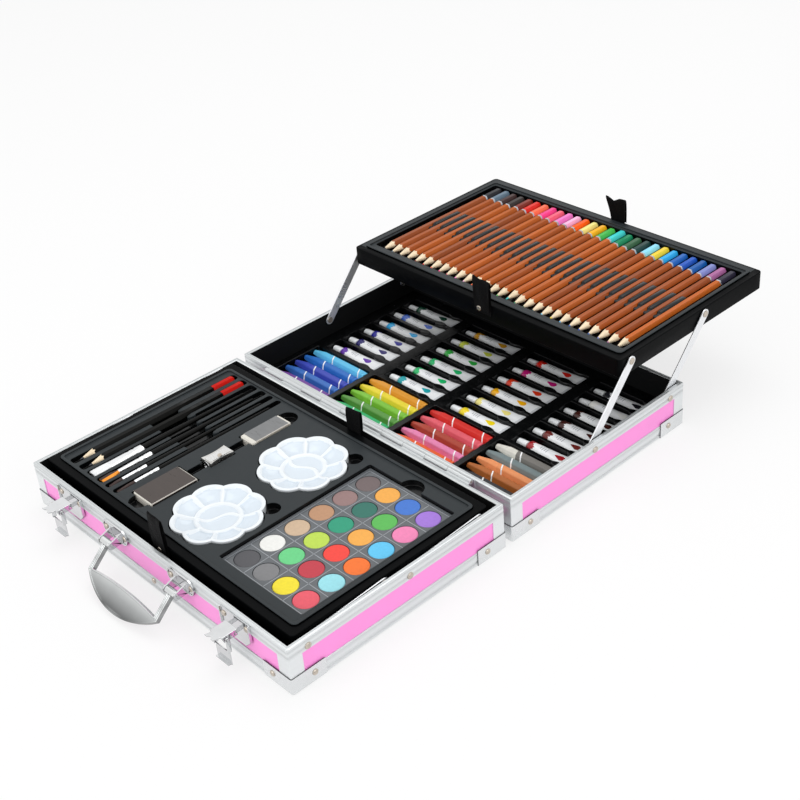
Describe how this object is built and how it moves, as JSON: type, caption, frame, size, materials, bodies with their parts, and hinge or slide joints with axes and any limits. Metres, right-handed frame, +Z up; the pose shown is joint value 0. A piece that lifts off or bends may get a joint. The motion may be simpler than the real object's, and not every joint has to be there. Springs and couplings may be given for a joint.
{
  "type": "art set case",
  "caption": "Open metal-edged case on a piano hinge, with lift trays on flat arms, pencils, pastels, paint tubes, brushes, palettes and a watercolour box.",
  "frame": {"origin": "on the table, under the middle of the whole object as pictured", "axes": "+X along the piano hinge, +Y from the carry handle towards the raised tray, +Z up"},
  "size_m": [0.3722, 0.6644, 0.1303],
  "materials": {
    "pink_board": "pink laminated board, satin",
    "bright_profile": "bright brushed extrusion",
    "plated_steel": "bright plated pressed steel",
    "rivet_steel": "plated steel, satin",
    "arm_steel": "plated flat steel, satin",
    "black_lining": "black felt-like lining",
    "tray_board": "black leathercloth, matt",
    "formed_insert": "black formed sheet, fine grain",
    "ribbon": "black woven ribbon",
    "pencil_wood": "lacquered, bare cone, dipped end",
    "coloured_lead": "waxy lead",
    "black_wood": "black lacquer",
    "graphite": "graphite sheen",
    "oil_pastel": "waxy",
    "paper_sleeve": "printed paper, satin",
    "tube_film": "white laminate with a colour splash",
    "tube_cap": "ribbed cap",
    "brush_hair": "brush fibre",
    "ferrule": "polished",
    "eraser_rubber": "matt",
    "cast_metal": "milled",
    "blade_steel": "ground blade",
    "white_plastic": "glossy white",
    "clear_box": "smoked box",
    "watercolour": "dry watercolour",
    "chrome": "polished"
  },
  "bodies": {
    "rear_case": {"rear_bottom_panel": "pink_board", "rear_side_panels": "pink_board", "rear_rim_profile": "bright_profile", "rear_bottom_profile": "bright_profile", "rear_corner_posts": "bright_profile", "rear_corner_caps": "plated_steel", "rear_rivets": "rivet_steel", "rear_lining": "black_lining", "rear_hinge_leaf": "bright_profile", "hinge_pin": "rivet_steel", "latch_strikes": "chrome", "rear_insert": "formed_insert", "oil_pastels": "oil_pastel", "pastel_sleeves": "paper_sleeve", "paint_tubes": "tube_film", "tube_caps": "tube_cap"},
    "front_case": {"front_bottom_panel": "pink_board", "front_side_panels": "pink_board", "front_rim_profile": "bright_profile", "front_bottom_profile": "bright_profile", "front_corner_posts": "bright_profile", "front_corner_caps": "plated_steel", "front_rivets": "rivet_steel", "front_lining": "black_lining", "front_hinge_leaf": "bright_profile", "latch_bases": "chrome", "handle_lugs": "chrome"},
    "pencil_near_arms": {"pencil_tray_near_arms": "arm_steel"},
    "pencil_far_arms": {"pencil_tray_far_arms": "arm_steel"},
    "pencil_tray": {"pencil_tray_box": "tray_board", "pencil_tray_insert": "formed_insert", "pencil_casings": "pencil_wood", "pencil_leads": "coloured_lead", "pencil_tray_rivets": "rivet_steel", "pencil_tray_tabs": "ribbon"},
    "tool_near_arms": {"tool_tray_near_arms": "arm_steel"},
    "tool_far_arms": {"tool_tray_far_arms": "arm_steel"},
    "tool_tray": {"tool_tray_box": "tray_board", "tool_tray_insert": "formed_insert", "graphite_casings": "black_wood", "graphite_leads": "graphite", "brush_hair": "brush_hair", "brush_ferrules": "ferrule", "brush_handles": "black_wood", "erasers": "eraser_rubber", "eraser_sleeves": "paper_sleeve", "sharpener_body": "cast_metal", "sharpener_blade": "blade_steel", "sharpener_screw": "rivet_steel", "flower_palettes": "white_plastic", "colour_box": "clear_box", "colour_pans": "watercolour", "tool_tray_rivets": "rivet_steel", "tool_tray_tabs": "ribbon"},
    "handle": {"carry_handle": "chrome"},
    "left_lever": {"latch_lever_left": "chrome"},
    "right_lever": {"latch_lever_right": "chrome"},
    "left_hook": {"latch_hook_left": "chrome"},
    "right_hook": {"latch_hook_right": "chrome"}
  },
  "joints": [
    {"name": "lid_hinge", "type": "hinge", "parent": "rear_case", "child": "front_case", "pos_m": [0, -0.04405, 0.046], "axis": [-1, 0, 0], "range_deg": [0, 150], "deforming": ["tool_tray_tabs", "pencil_tray_tabs"]},
    {"name": "pencil_near_arms_lift", "type": "hinge", "parent": "rear_case", "child": "pencil_near_arms", "pos_m": [0, 0.07045, 0.038], "axis": [1, 0, 0], "range_deg": [0, 134.1]},
    {"name": "pencil_far_arms_lift", "type": "hinge", "parent": "rear_case", "child": "pencil_far_arms", "pos_m": [0, 0.17845, 0.038], "axis": [1, 0, 0], "range_deg": [0, 134.1]},
    {"name": "pencil_tray_level", "type": "hinge", "parent": "pencil_near_arms", "child": "pencil_tray", "pos_m": [0, 0.12666, 0.10176], "axis": [1, 0, 0], "range_deg": [-134.1, 0]},
    {"name": "tool_near_arms_lift", "type": "hinge", "parent": "front_case", "child": "tool_near_arms", "pos_m": [0, -0.15855, 0.038], "axis": [-1, 0, 0], "range_deg": [-128.7, 0]},
    {"name": "tool_far_arms_lift", "type": "hinge", "parent": "front_case", "child": "tool_far_arms", "pos_m": [0, -0.26655, 0.038], "axis": [-1, 0, 0], "range_deg": [-128.7, 0]},
    {"name": "tool_tray_level", "type": "hinge", "parent": "tool_near_arms", "child": "tool_tray", "pos_m": [0, -0.07364, 0.042], "axis": [-1, 0, 0], "range_deg": [0, 128.7]},
    {"name": "handle_swing", "type": "hinge", "parent": "front_case", "child": "handle", "pos_m": [0, -0.29775, 0.032], "axis": [-1, 0, 0], "range_deg": [0, 130]},
    {"name": "left_lever_throw", "type": "hinge", "parent": "front_case", "child": "left_lever", "pos_m": [-0.1205, -0.29375, 0.034], "axis": [-1, 0, 0], "range_deg": [-85, 0]},
    {"name": "left_hook_turn", "type": "hinge", "parent": "left_lever", "child": "left_hook", "pos_m": [-0.1205, -0.30275, 0.034], "axis": [-1, 0, 0], "range_deg": [0, 265]},
    {"name": "right_lever_throw", "type": "hinge", "parent": "front_case", "child": "right_lever", "pos_m": [0.1205, -0.29375, 0.034], "axis": [-1, 0, 0], "range_deg": [-85, 0]},
    {"name": "right_hook_turn", "type": "hinge", "parent": "right_lever", "child": "right_hook", "pos_m": [0.1205, -0.30275, 0.034], "axis": [-1, 0, 0], "range_deg": [0, 265]}
  ],
  "couplings": [
    {"joint": "pencil_far_arms_lift", "follows": "pencil_near_arms_lift", "ratio": 1},
    {"joint": "pencil_tray_level", "follows": "pencil_near_arms_lift", "ratio": -1},
    {"joint": "tool_far_arms_lift", "follows": "tool_near_arms_lift", "ratio": 1},
    {"joint": "tool_tray_level", "follows": "tool_near_arms_lift", "ratio": -1},
    {"joint": "left_hook_turn", "follows": "left_lever_throw", "ratio": -3.1176},
    {"joint": "right_hook_turn", "follows": "right_lever_throw", "ratio": -3.1176}
  ]
}
